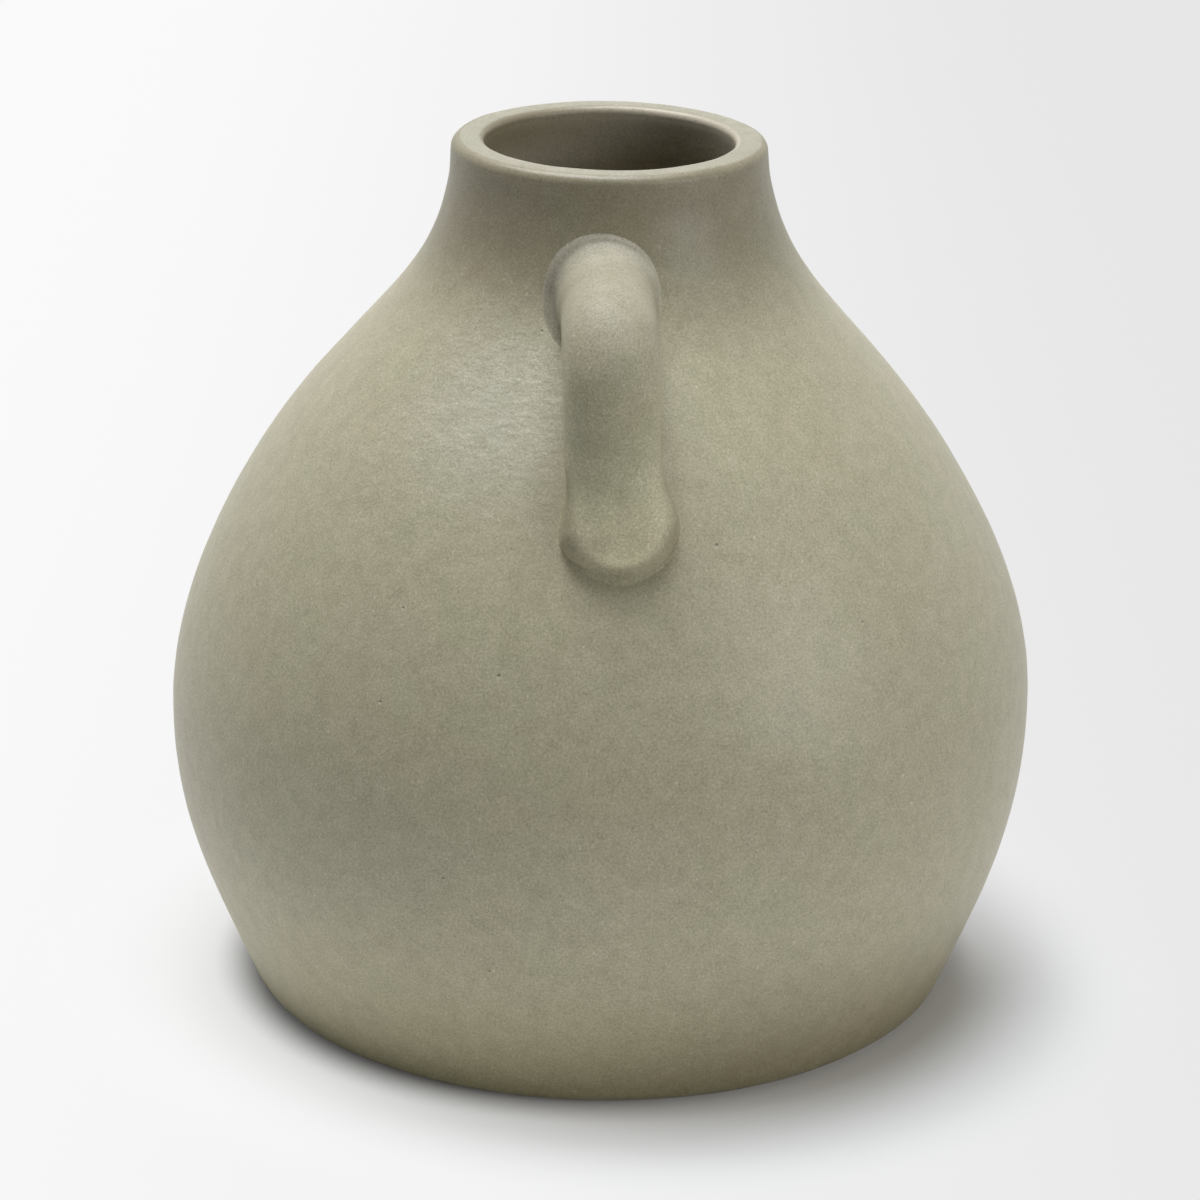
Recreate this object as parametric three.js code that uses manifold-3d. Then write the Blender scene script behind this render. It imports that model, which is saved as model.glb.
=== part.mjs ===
// Ceramic milk jug: a squat, full-bellied pot with a short open neck and one small ear handle.
// Millimetres, +Z up. The origin is on the pot's axis, at the plane it stands on, and the handle faces -Y.

import * as THREE from 'three';
import { mergeVertices } from 'three/addons/utils/BufferGeometryUtils.js';
import Module from 'manifold-3d';

// Outside of the pot. A lean is the wall's angle from upright, in degrees.
const jugHeight = 171;
const standRadius = 66.6; // outer edge of the flat ring it stands on
const footCornerRadius = 4;
const footLean = 23;
const bellyRadius = 85;
const bellyHeight = 57.4;
const neckHeight = 48; // from the steepest slant of the shoulder up to the rim
const shoulderRadius = 56.6; // at that slant
const shoulderLean = 40.4;
const rimRadius = 30;
const rimLean = 6.6;
const rimOuterRound = 2;
const rimInnerRound = 2.4;

// How far each curve of the wall runs on straight from its two ends, as a share of its height
const footToBellyPull = [0.457, 0.374];
const bellyToShoulderPull = [0.429, 0.206];
const shoulderToRimPull = [0.574, 0.484];

// Wall, floor and foot ring
const wallThickness = 6;
const floorThickness = 8;
const floorCornerHeight = 16; // height over which the inside wall turns into the floor
const footRingWidth = 8;
const footRingBevel = 1.6;
const undersideRecess = 2.5;

// Liner glaze
const glazeThickness = 0.6;
const glazeStop = 5; // bare band between the rim and the liner's edge

// Ear handle: out from the neck, round a bend and down to the shoulder
const handleWidth = 17.6;
const toeWidth = 20;
const handleDepthAtNeck = 18.6; // thickness square to the width
const handleDepth = 14;
const neckTaper = 0.4; // share of the handle's length over which it thins from the neck
const toeFlare = 0.3; // share over which it widens to the toe
const handleBelowRim = 22.8; // centreline of the level run
const handleProjection = 25.4; // from the neck's wall to the centreline of the leg
const handleBendRadius = 10;
const handleSpan = 36.4; // between the centres of the two roots
const toeLean = 20;
const legPull = [0.45, 0.35]; // as for the wall's curves
const toeSink = 8.6; // how far the centreline runs on into the shoulder's wall
const toeRound = 9; // length over which the toe closes to a round end
const neckSink = 5; // how deep in the neck's wall the centreline starts
const handleOffsetAtNeck = -0.5; // sideways place of each root
const handleOffsetAtShoulder = 3;
const neckCoilSpread = 3; // how far a luting coil spreads over the pot from the handle
const shoulderCoilSpread = 2;
const coilClimb = 5; // how far a luting coil climbs the handle from the pot
const clayJointGap = 0.3;

// Fineness
const turnSegments = 56;
const wallSteps = [4, 7, 6];
const roundSteps = 3;
const handleSides = 20;
const handleRings = 32;
const toeEnd = 0.995; // share of the centreline where the last ring closes
const coilRings = 20;

const wasm = await Module();
wasm.setup();

const radians = THREE.MathUtils.degToRad;

// Unit vector up a wall that leans inwards by an angle, in the plane of radius and height
function upWall(lean) {
  return new THREE.Vector2(-Math.sin(radians(lean)), Math.cos(radians(lean)));
}

function outOfWall(lean) {
  return new THREE.Vector2(Math.cos(radians(lean)), Math.sin(radians(lean)));
}

function wallCurve(start, startLean, end, endLean, pull) {
  const rise = end.y - start.y;
  const leave = start.clone().addScaledVector(upWall(startLean), pull[0] * rise);
  const arrive = end.clone().addScaledVector(upWall(endLean), -pull[1] * rise);
  return new THREE.CubicBezierCurve(start, leave, arrive, end);
}

function arcPoints(centre, radius, fromAngle, toAngle, steps) {
  const points = [];
  for (let i = 0; i <= steps; i += 1) {
    const angle = radians(THREE.MathUtils.lerp(fromAngle, toAngle, i / steps));
    points.push(new THREE.Vector2(centre.x + radius * Math.cos(angle), centre.y + radius * Math.sin(angle)));
  }
  return points;
}

const footCentre = new THREE.Vector2(standRadius, footCornerRadius);
const rimCentre = new THREE.Vector2(rimRadius - rimOuterRound, jugHeight - rimOuterRound);
const footPoint = footCentre.clone().addScaledVector(outOfWall(-footLean), footCornerRadius);
const bellyPoint = new THREE.Vector2(bellyRadius, bellyHeight);
const shoulderPoint = new THREE.Vector2(shoulderRadius, jugHeight - neckHeight);
const rimPoint = rimCentre.clone().addScaledVector(outOfWall(rimLean), rimOuterRound);

const wallCurves = [
  wallCurve(footPoint, -footLean, bellyPoint, 0, footToBellyPull),
  wallCurve(bellyPoint, 0, shoulderPoint, shoulderLean, bellyToShoulderPull),
  wallCurve(shoulderPoint, shoulderLean, rimPoint, rimLean, shoulderToRimPull),
];

// The outside wall from foot to rim, moved inwards by a distance square to itself
function wallInside(depth) {
  const points = [];
  wallCurves.forEach((curve, index) => {
    const steps = wallSteps[index];
    for (let i = index === 0 ? 0 : 1; i <= steps; i += 1) {
      const along = curve.getTangent(i / steps);
      const inwards = new THREE.Vector2(-along.y, along.x);
      points.push(curve.getPoint(i / steps).addScaledVector(inwards, depth));
    }
  });
  return points;
}

// An inside surface from the axis, over the floor and up the wall to a height
function bowlOutline(depth, floorHeight, topHeight) {
  const turn = floorHeight + floorCornerHeight;
  const wall = wallInside(depth);
  const upper = wall.filter((point) => point.y > turn && point.y < topHeight);
  const above = wall.findIndex((point) => point.y > turn);
  const wallFoot = upper[0];
  const down = wall[above - 1].clone().sub(wallFoot).normalize();
  const corner = wallFoot.clone().addScaledVector(down, (wallFoot.y - floorHeight) / -down.y);
  const floorEdge = new THREE.Vector2(corner.x - floorCornerHeight, floorHeight);
  const sweep = new THREE.QuadraticBezierCurve(floorEdge, corner, wallFoot);
  return [new THREE.Vector2(0, floorHeight), ...sweep.getPoints(2 * roundSteps).slice(0, -1), ...upper];
}

// Radius of an outline at a height, found between its points
function radiusAt(outline, height) {
  const next = outline.findIndex((point) => point.y >= height);
  const low = outline[next - 1];
  const high = outline[next];
  return THREE.MathUtils.mapLinear(height, low.y, high.y, low.x, high.x);
}

function turnedSolid(outline) {
  const turned = new THREE.LatheGeometry(outline, turnSegments);
  turned.rotateX(Math.PI / 2);
  return solidOf(turned);
}

function solidOf(geometry) {
  geometry.deleteAttribute('normal');
  geometry.deleteAttribute('uv');
  const merged = mergeVertices(geometry, 1e-4);
  const corners = merged.index.array;
  const triVerts = [];
  for (let i = 0; i < corners.length; i += 3) {
    const [a, b, c] = [corners[i], corners[i + 1], corners[i + 2]];
    if (a !== b && b !== c && c !== a) {
      triVerts.push(a, b, c);
    }
  }
  const vertProperties = merged.attributes.position.array;
  const mesh = new wasm.Mesh({ numProp: 3, vertProperties, triVerts: Uint32Array.from(triVerts) });
  return new wasm.Manifold(mesh);
}

function geometryOf(solid) {
  const mesh = solid.getMesh();
  const geometry = new THREE.BufferGeometry();
  geometry.setAttribute('position', new THREE.BufferAttribute(mesh.vertProperties, 3));
  geometry.setIndex(new THREE.BufferAttribute(mesh.triVerts, 1));
  geometry.computeVertexNormals();
  return geometry;
}

// Pot: underside and foot ring, outside wall, rim, inside wall and floor
const floorHeight = undersideRecess + floorThickness;
const outerWall = wallInside(0);

function bodyOutline() {
  const ringInner = standRadius - footRingWidth;
  const rimInnerCentre = new THREE.Vector2(
    rimRadius - wallThickness + rimInnerRound,
    jugHeight - rimInnerRound,
  );
  const inside = bowlOutline(wallThickness, floorHeight, rimInnerCentre.y);
  return [
    new THREE.Vector2(0, undersideRecess),
    new THREE.Vector2(ringInner - footRingBevel, undersideRecess),
    new THREE.Vector2(ringInner, 0),
    ...arcPoints(footCentre, footCornerRadius, -90, -footLean, roundSteps),
    ...outerWall.slice(1),
    ...arcPoints(rimCentre, rimOuterRound, rimLean, 90, roundSteps).slice(1),
    ...arcPoints(rimInnerCentre, rimInnerRound, 90, 180, roundSteps),
    ...inside.reverse(),
  ];
}

// Liner glaze: a thin open bowl that follows the inside of the wall
function glazeOutline() {
  const top = jugHeight - glazeStop;
  const outsideDepth = wallThickness + clayJointGap;
  const insideDepth = outsideDepth + glazeThickness;
  const outside = bowlOutline(outsideDepth, floorHeight + clayJointGap, top);
  const inside = bowlOutline(insideDepth, floorHeight + clayJointGap + glazeThickness, top);
  const outsideTop = new THREE.Vector2(radiusAt(wallInside(outsideDepth), top), top);
  const insideTop = new THREE.Vector2(radiusAt(wallInside(insideDepth), top), top);
  return [...outside, outsideTop, insideTop, ...inside.reverse()];
}

// Everything inside the pot's outside wall, grown by the joint gap: what the clay joints are cut to
function potCutter() {
  const grown = wallInside(-clayJointGap);
  const top = grown[grown.length - 1].y;
  return turnedSolid([new THREE.Vector2(0, 0), new THREE.Vector2(grown[0].x, 0), ...grown,
    new THREE.Vector2(0, top)]);
}

// Centreline of the handle in the plane of radius and height
function handleLine() {
  const top = jugHeight - handleBelowRim;
  const neckRadius = radiusAt(outerWall, top);
  const bendCentre = new THREE.Vector2(neckRadius + handleProjection - handleBendRadius,
    top - handleBendRadius);
  const legTop = new THREE.Vector2(neckRadius + handleProjection, bendCentre.y);
  const landing = new THREE.Vector2(radiusAt(outerWall, top - handleSpan), top - handleSpan);
  const drop = legTop.y - landing.y;
  const line = new THREE.Path();
  line.moveTo(neckRadius - neckSink, top);
  line.lineTo(bendCentre.x, top);
  line.absarc(bendCentre.x, bendCentre.y, handleBendRadius, Math.PI / 2, 0, true);
  const legEnd = landing.clone().addScaledVector(upWall(toeLean), legPull[1] * drop);
  line.bezierCurveTo(legTop.x, legTop.y - legPull[0] * drop, legEnd.x, legEnd.y, landing.x, landing.y);
  const tip = landing.clone().addScaledVector(upWall(toeLean), -toeSink);
  line.lineTo(tip.x, tip.y);
  return line;
}

// Distance from the pot's outside wall to a point, below zero inside the wall
function distanceToWall(radius, height) {
  const point = new THREE.Vector2(radius, height);
  let nearest = Infinity;
  for (let i = 1; i < outerWall.length; i += 1) {
    const start = outerWall[i - 1];
    const along = outerWall[i].clone().sub(start);
    const share = THREE.MathUtils.clamp(point.clone().sub(start).dot(along) / along.lengthSq(), 0, 1);
    const away = point.clone().sub(start.clone().addScaledVector(along, share));
    const side = Math.sign(away.x * along.y - away.y * along.x) || 1;
    if (away.length() < Math.abs(nearest)) {
      nearest = side * away.length();
    }
  }
  return nearest;
}

// Concave sweep of a luting coil: its full spread at the wall, and none once it has climbed
function coilSwell(spread) {
  return (distance) => spread * (1 - THREE.MathUtils.clamp(distance / coilClimb, 0, 1)) ** 2;
}

// One elliptical ring of the handle at a share of its length, swollen by a function of wall distance
function handleRing(line, share, swell) {
  const centre = line.getPointAt(share);
  const along = line.getTangentAt(share);
  const sideways = THREE.MathUtils.lerp(handleOffsetAtNeck, handleOffsetAtShoulder, share);
  const toTip = Math.min((1 - share) * line.getLength() / toeRound, 1);
  const size = Math.sqrt(1 - (1 - toTip) ** 2);
  const thinned = THREE.MathUtils.smoothstep(share, 0, neckTaper);
  const widened = THREE.MathUtils.smoothstep(share, toeEnd - toeFlare, toeEnd);
  const depth = THREE.MathUtils.lerp(handleDepthAtNeck, handleDepth, thinned);
  const width = THREE.MathUtils.lerp(handleWidth, toeWidth, widened);
  const ring = [];
  for (let i = 0; i < handleSides; i += 1) {
    const angle = (2 * Math.PI * i) / handleSides;
    const across = Math.cos(angle) * size * width / 2;
    const outwards = Math.sin(angle) * size * depth / 2;
    const x = sideways + across;
    const reach = centre.x - along.y * outwards;
    const z = centre.y + along.x * outwards;
    const grow = swell(distanceToWall(Math.hypot(x, reach), z));
    const normal = new THREE.Vector2(across / width ** 2, outwards / depth ** 2).normalize();
    ring.push(new THREE.Vector3(
      x + normal.x * grow,
      -(reach - along.y * normal.y * grow),
      z + along.x * normal.y * grow,
    ));
  }
  return ring;
}

// Closed solid through a row of rings, each end closed to its middle point
function solidThroughRings(rings) {
  const sides = rings[0].length;
  const middle = (ring) => ring.reduce((sum, point) => sum.add(point), new THREE.Vector3())
    .divideScalar(sides);
  const points = [...rings.flat(), middle(rings[0]), middle(rings[rings.length - 1])];
  const firstMiddle = points.length - 2;
  const lastRing = (rings.length - 1) * sides;
  const index = [];
  for (let side = 0; side < sides; side += 1) {
    const next = (side + 1) % sides;
    for (let ring = 0; ring < lastRing; ring += sides) {
      index.push(ring + side, ring + next, ring + sides + next);
      index.push(ring + side, ring + sides + next, ring + sides + side);
    }
    index.push(firstMiddle, next, side);
    index.push(firstMiddle + 1, lastRing + side, lastRing + next);
  }
  const geometry = new THREE.BufferGeometry().setFromPoints(points);
  geometry.setIndex(index);
  return solidOf(geometry);
}

function handleSolid(line, from, to, count, swell) {
  const rings = [];
  for (let i = 0; i <= count; i += 1) {
    rings.push(handleRing(line, THREE.MathUtils.lerp(from, to, i / count), swell));
  }
  return solidThroughRings(rings);
}

const pot = turnedSolid(bodyOutline());
const cutter = potCutter();
const line = handleLine();
const handle = handleSolid(line, 0, toeEnd, handleRings, () => 0).subtract(cutter);
const handleCutter = handleSolid(line, 0, toeEnd, handleRings, () => clayJointGap);

// A luting coil: the handle's own shape swollen near the wall, less the handle and the pot
function lutingCoil(from, to, spread) {
  return handleSolid(line, from, to, coilRings, coilSwell(spread)).subtract(handleCutter).subtract(cutter);
}

const mattGlaze = { color: 0x918c76, roughness: 0.72, metalness: 0 };
const linerGlaze = { color: 0x6f6854, roughness: 0.5, metalness: 0 };

function piece(name, solid, finish) {
  const mesh = new THREE.Mesh(geometryOf(solid), new THREE.MeshStandardMaterial(finish));
  mesh.name = name;
  return mesh;
}

const group = new THREE.Group();
group.add(
  piece('vessel_body', pot, mattGlaze),
  piece('interior_glaze', turnedSolid(glazeOutline()), linerGlaze),
  piece('handle', handle, mattGlaze),
  piece('upper_luting_coil', lutingCoil(0, 0.5, neckCoilSpread), mattGlaze),
  piece('lower_luting_coil', lutingCoil(0.5, toeEnd, shoulderCoilSpread), mattGlaze),
);

export default group;
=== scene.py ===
# Looks of the ceramic milk jug: a turned pot in matt sage glaze, a luted ear handle and a liner glaze
import functools
import math

import bpy
import numpy as np
from mathutils import Matrix, Vector


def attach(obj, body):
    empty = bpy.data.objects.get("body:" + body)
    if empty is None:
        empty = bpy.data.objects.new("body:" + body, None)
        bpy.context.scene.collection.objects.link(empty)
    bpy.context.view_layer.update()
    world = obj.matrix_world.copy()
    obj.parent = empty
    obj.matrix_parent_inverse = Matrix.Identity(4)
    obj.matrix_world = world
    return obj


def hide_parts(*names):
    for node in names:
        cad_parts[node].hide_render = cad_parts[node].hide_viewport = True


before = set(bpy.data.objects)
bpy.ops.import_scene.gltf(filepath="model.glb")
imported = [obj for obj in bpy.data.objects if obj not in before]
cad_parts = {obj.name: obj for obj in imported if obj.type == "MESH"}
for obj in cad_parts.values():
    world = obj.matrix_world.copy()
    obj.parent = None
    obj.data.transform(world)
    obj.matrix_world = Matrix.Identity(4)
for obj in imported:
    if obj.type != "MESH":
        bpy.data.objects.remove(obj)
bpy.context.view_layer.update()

mm = 0.001  # every size below is in millimetres; meshes are in metres


# A cubic curve: the four points weighted by the Bernstein shares of t
def bezier(points, t):
    a, b, c, d = [np.asarray(p, float) for p in points]
    t = np.asarray(t, float)[:, None]
    return (1 - t) ** 3 * a + 3 * (1 - t) ** 2 * t * b + 3 * (1 - t) * t ** 2 * c + t ** 3 * d


def arc(centre, radius, start, end, count):
    angle = np.radians(np.linspace(start, end, count))
    return np.c_[centre[0] + radius * np.cos(angle), centre[1] + radius * np.sin(angle)]


# Points spread evenly along a polyline, about one spacing apart
def spread(line, spacing):
    run = np.r_[0, np.cumsum(np.hypot(*np.diff(line, axis=0).T))]
    at = np.linspace(0, run[-1], max(int(round(run[-1] / spacing)), 1) + 1)
    return np.c_[np.interp(at, run, line[:, 0]), np.interp(at, run, line[:, 1])]


def upWall(lean):
    return np.array([-math.sin(math.radians(lean)), math.cos(math.radians(lean))])


def outOfWall(lean):
    return np.array([math.cos(math.radians(lean)), math.sin(math.radians(lean))])


def smooth(low, high, value):
    share = np.clip((value - low) / (high - low), 0, 1)
    return share * share * (3 - 2 * share)


# A colour given as it looks on a screen, 0 to 255, made linear for the shader
def screen(red, green, blue):
    share = np.array([red, green, blue]) / 255
    linear = np.where(share <= 0.04045, share / 12.92, ((share + 0.055) / 1.055) ** 2.4)
    return (*linear.tolist(), 1.0)


# Low rolling unevenness of hand-finished clay: a sum of sine waves that run in random directions
unevenness = {"seed": 11, "waves": 26, "longest": 46, "shortest": 6, "height": 0.018, "fall": 0.6}
waveRandom = np.random.default_rng(unevenness["seed"])
waveLength = np.geomspace(unevenness["longest"], unevenness["shortest"], unevenness["waves"])
waveAxis = waveRandom.normal(size=(unevenness["waves"], 3))
waveAxis *= (2 * math.pi / waveLength / np.linalg.norm(waveAxis, axis=1))[:, None]
wavePhase = waveRandom.uniform(0, 2 * math.pi, unevenness["waves"])
waveHeight = unevenness["height"] * (waveLength / unevenness["longest"]) ** unevenness["fall"]


# How the thrown wall strays sideways from its axis with height, where it is fuller, and over how much
# height its corners are rounded off, in millimetres
stray = {
    "height": [0, 20, 40, 57, 68, 84, 104, 125, 146, 158, 171],
    "sideways": [0.1, 0, -0.32, -0.22, 0.12, 0.36, 0.05, 0.2, 0.2, 0.1, -0.3],
    "fuller": [0, 0, 0.05, 0.16, 0.18, 0.15, 0.02, 0.05, 0, 0, 0],
    "ease": 17,
}

# The lip sags a little, most of all in front, and is drawn out outside, over these heights and radii
lip = {
    "sag": 0.42, "dip": 0.23, "sagHeights": (152, 168),
    "flare": 0.3, "flareHeights": (163, 169.5), "flareRadii": (25.5, 28.5),
}


def relief(points):
    return np.sin(points @ waveAxis.T + wavePhase) @ waveHeight


# A row of values with its corners rounded off: the mean of its neighbours under a raised cosine
def eased(values, width):
    share = np.hanning(width + 2)[1:-1]
    return np.convolve(np.pad(values, width // 2, "edge"), share / share.sum(), "valid")


# A value that changes with height, rounded off between the given heights
def byHeight(values, height):
    fine = np.arange(-10, 182)  # each millimetre of the pot's height and a little beyond
    rough = np.interp(fine, stray["height"], values)
    return np.interp(height, fine, eased(rough, stray["ease"]))


# Points moved out along their normals by the unevenness and in by sunk, sideways with the wall's stray,
# and with the lip as it flares and sags
def uneven(points, normals, sunk=0.0):
    height = points[..., 2]
    out = relief(points) + byHeight(stray["fuller"], height) - sunk
    moved = points + normals * np.asarray(out)[..., None]
    radius = np.maximum(np.hypot(points[..., 0], points[..., 1]), 1)
    drawn = smooth(*lip["flareHeights"], height) * smooth(*lip["flareRadii"], radius)
    flare = lip["flare"] * drawn / radius
    moved[..., 0] += byHeight(stray["sideways"], height) + points[..., 0] * flare
    moved[..., 1] += points[..., 1] * flare
    sag = lip["sag"] - lip["dip"] * points[..., 1] / radius
    moved[..., 2] -= smooth(*lip["sagHeights"], height) * sag
    return moved


sharpEdge = math.radians(50)  # edges that turn by more than this aren't smoothed


# Closed mesh through rings of points; an end is closed by a pole, or the last ring joins the first.
# An attribute tells the glaze where to paint shade, where the handle and coils meet the wall
def ringMesh(name, rings, material, poles=None, paintedShade=None):
    count, sides = rings.shape[:2]
    points = rings.reshape(-1, 3)
    row = np.arange(count if poles is None else count - 1)[:, None] * sides
    side = np.arange(sides)[None]
    after = (side + 1) % sides
    above = (row + sides) % (count * sides)
    quads = np.stack([row + side, row + after, above + after, above + side], -1).reshape(-1, 4)
    faces = quads.tolist()
    if poles is not None:
        points = np.vstack([points, poles])
        low, high, last = count * sides, count * sides + 1, (count - 1) * sides
        faces += [(low, (s + 1) % sides, s) for s in range(sides)]
        faces += [(high, last + s, last + (s + 1) % sides) for s in range(sides)]
    mesh = bpy.data.meshes.new(name)
    mesh.from_pydata((points * mm).tolist(), [], faces)
    mesh.polygons.foreach_set("use_smooth", np.ones(len(faces), bool))
    mesh.set_sharp_from_angle(angle=sharpEdge)
    if paintedShade is not None:
        share = np.zeros(len(points), np.float32)
        share[:paintedShade.size] = paintedShade.ravel()
        mesh.attributes.new("paintedShade", "FLOAT", "POINT").data.foreach_set("value", share)
    mesh.materials.append(material)
    mesh.update()
    piece = bpy.data.objects.new(name, mesh)
    bpy.context.scene.collection.objects.link(piece)
    return piece


# The pot's outline: a foot corner, three curves of the wall, and a lip with two rounded edges. Leans and
# turns are in degrees, and so are the gaps that arcs leave beside the wall's own points
pot = {
    "height": 171, "standRadius": 66.6, "footCorner": 4, "footLean": 23,
    "bellyRadius": 85, "bellyHeight": 57.4, "neckHeight": 48,
    "shoulderRadius": 56.6, "shoulderLean": 40.4,
    "rimRadius": 30, "rimLean": 6.6, "rimOuterRound": 2.0, "rimInnerRound": 1.4,
    "footTurn": -82, "footGap": 4, "rimGap": 8,
    "pulls": [(0.457, 0.374), (0.429, 0.206), (0.574, 0.484)],
    "wall": 6, "floor": 8, "floorCorner": 16, "ringWidth": 8, "ringBevel": 1.6, "recess": 2.5,
    "ringEdgeRound": 0.6, "ringEdgeIn": 0.5, "ringFlatIn": 0.4, "flatBelow": 0.4, "lipJoin": 0.5,
    "sides": 336, "spacing": 1.06, "hiddenSpacing": 6, "neckSpacing": 1.2, "neckInside": 30,
    "recessSpacing": 3, "ringSpacing": 1.5, "curveSteps": 160, "cornerSteps": 24, "poleRadius": 0.5,
}


def wallStretch(start, startLean, end, endLean, pull):
    rise = end[1] - start[1]
    leave = start + upWall(startLean) * pull[0] * rise
    arrive = end - upWall(endLean) * pull[1] * rise
    return bezier([start, leave, arrive, end], np.linspace(0, 1, pot["curveSteps"]))


footCentre = np.array([pot["standRadius"], pot["footCorner"]])
rimCentre = np.array([pot["rimRadius"] - pot["rimOuterRound"], pot["height"] - pot["rimOuterRound"]])
stations = [
    (footCentre + outOfWall(-pot["footLean"]) * pot["footCorner"], -pot["footLean"]),
    (np.array([pot["bellyRadius"], pot["bellyHeight"]]), 0),
    (np.array([pot["shoulderRadius"], pot["height"] - pot["neckHeight"]]), pot["shoulderLean"]),
    (rimCentre + outOfWall(pot["rimLean"]) * pot["rimOuterRound"], pot["rimLean"]),
]
outerWall = np.vstack([
    wallStretch(*stations[i], *stations[i + 1], pot["pulls"][i])[(i > 0):] for i in range(3)
])
wallSlant = np.gradient(outerWall, axis=0)
wallSlant /= np.hypot(*wallSlant.T)[:, None]


# The outside wall moved inwards, square to itself
def wallInside(depth):
    return outerWall + np.c_[-wallSlant[:, 1], wallSlant[:, 0]] * depth


# Signed distance from the outside wall, near it: the radial gap times the cosine of the wall's lean
def wallDistance(points):
    radius = np.hypot(points[..., 0], points[..., 1])
    height = points[..., 2]
    cosine = np.interp(height, outerWall[:, 1], wallSlant[:, 1])
    return (radius - np.interp(height, outerWall[:, 1], outerWall[:, 0])) * cosine


# The outside wall's outward normal at a point's height and bearing
def wallNormal(points):
    radius = np.hypot(points[..., 0], points[..., 1])
    across = np.interp(points[..., 2], outerWall[:, 1], wallSlant[:, 1])
    up = -np.interp(points[..., 2], outerWall[:, 1], wallSlant[:, 0])
    return np.stack([points[..., 0] / radius * across, points[..., 1] / radius * across, up], -1)


# A bowl's inside from the middle of the floor out and up the wall to a height
def bowlOutline(depth, floorHeight, topHeight):
    wall = wallInside(depth)
    wall = wall[(wall[:, 1] > floorHeight + pot["floorCorner"]) & (wall[:, 1] < topHeight)]
    down = wall[0] - wall[1]
    corner = wall[0] + down * (wall[0, 1] - floorHeight) / -down[1]
    edge = np.array([corner[0] - pot["floorCorner"], floorHeight])
    pulled = [edge, (edge + 2 * corner) / 3, (wall[0] + 2 * corner) / 3, wall[0]]
    turn = bezier(pulled, np.linspace(0, 1, pot["cornerSteps"]))
    return np.vstack([[[pot["poleRadius"], floorHeight]], turn, wall[1:]])


# An outline of radius and height carried round the axis, each ring a full turn
def turned(outline, sides):
    bearing = 2 * math.pi * np.arange(sides) / sides
    radius, height = outline[:, :1], outline[:, 1:]
    return np.stack([
        radius * np.cos(bearing), radius * np.sin(bearing), height + 0 * bearing
    ], -1)


# Outward normals of a turned outline, from the slant between its neighbours
def turnedNormals(outline, sides):
    slant = np.gradient(outline, axis=0)
    slant /= np.maximum(np.hypot(*slant.T), 1e-9)[:, None]
    return turned(np.c_[slant[:, 1], -slant[:, 0]], sides)


def potOutline():
    floorHeight = pot["recess"] + pot["floor"]
    ringInner = pot["standRadius"] - pot["ringWidth"]
    innerRound = pot["rimInnerRound"]
    innerRim = [pot["rimRadius"] - pot["wall"] + innerRound, pot["height"] - innerRound]
    inside = bowlOutline(pot["wall"], floorHeight, innerRim[1] - pot["lipJoin"])
    neckInside = inside[inside[:, 1] > pot["height"] - pot["neckInside"]]
    hidden = inside[inside[:, 1] <= pot["height"] - pot["neckInside"]]
    recess = np.array([[pot["poleRadius"], pot["recess"]], [ringInner - pot["ringBevel"], pot["recess"]]])
    ringFlat = np.array([[ringInner + pot["ringFlatIn"], 0], [pot["standRadius"], 0]])
    ringEdge = [ringInner - pot["ringEdgeIn"], pot["ringEdgeRound"]]
    return np.vstack([
        spread(recess, pot["recessSpacing"]),
        arc(ringEdge, pot["ringEdgeRound"], 180, 270, 4),
        spread(ringFlat, pot["ringSpacing"]),
        arc(footCentre, pot["footCorner"], pot["footTurn"], -pot["footLean"] - pot["footGap"], 8),
        spread(outerWall, pot["spacing"]),
        arc(rimCentre, pot["rimOuterRound"], pot["rimLean"] + pot["rimGap"], 90, 7),
        arc(innerRim, innerRound, 90, 180, 8),
        spread(neckInside[::-1], pot["neckSpacing"]),
        spread(hidden[::-1], pot["hiddenSpacing"]),
    ])


def makePot(material):
    outline = potOutline()
    rings = turned(outline, pot["sides"])
    rings = uneven(rings, turnedNormals(outline, pot["sides"]))
    flat = rings[..., 2] < pot["flatBelow"]  # the flat ring stays flat on the table
    rings[..., 2] = np.where(flat, np.maximum(outline[:, 1:], 0), rings[..., 2])
    poles = [[0, 0, pot["recess"]], [0, 0, pot["recess"] + pot["floor"]]]
    return ringMesh("potSkin", rings, material, poles)


# Liner glaze: a thin bowl inside the wall whose top edge feathers out under the rim
liner = {
    "gap": 0.3, "thickness": 0.6, "stop": 3.6, "feather": 26, "frontTuck": 0.012, "backTuck": 0.2,
    "sides": 240, "spacing": 1.6,
    # Colours inside carry painted light: painted shade on the mouth's left, painted light on its right
    # and lighter below the rim
    "left": screen(168, 158, 131), "right": screen(226, 218, 198), "deep": screen(204, 195, 173),
    "freckle": (0.62, 0.6, 0.56, 1), "freckleSize": 0.55, "freckleFrom": (0.52, 0.74),
    "acrossMouth": (-22, 22), "belowRim": (167, 160),
    "roughness": 0.5, "specular": 0.45,
    "rippleSize": 2.4, "rippleDepth": 0.12, "fineSize": 0.6, "fineDepth": 0.03,
}


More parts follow.
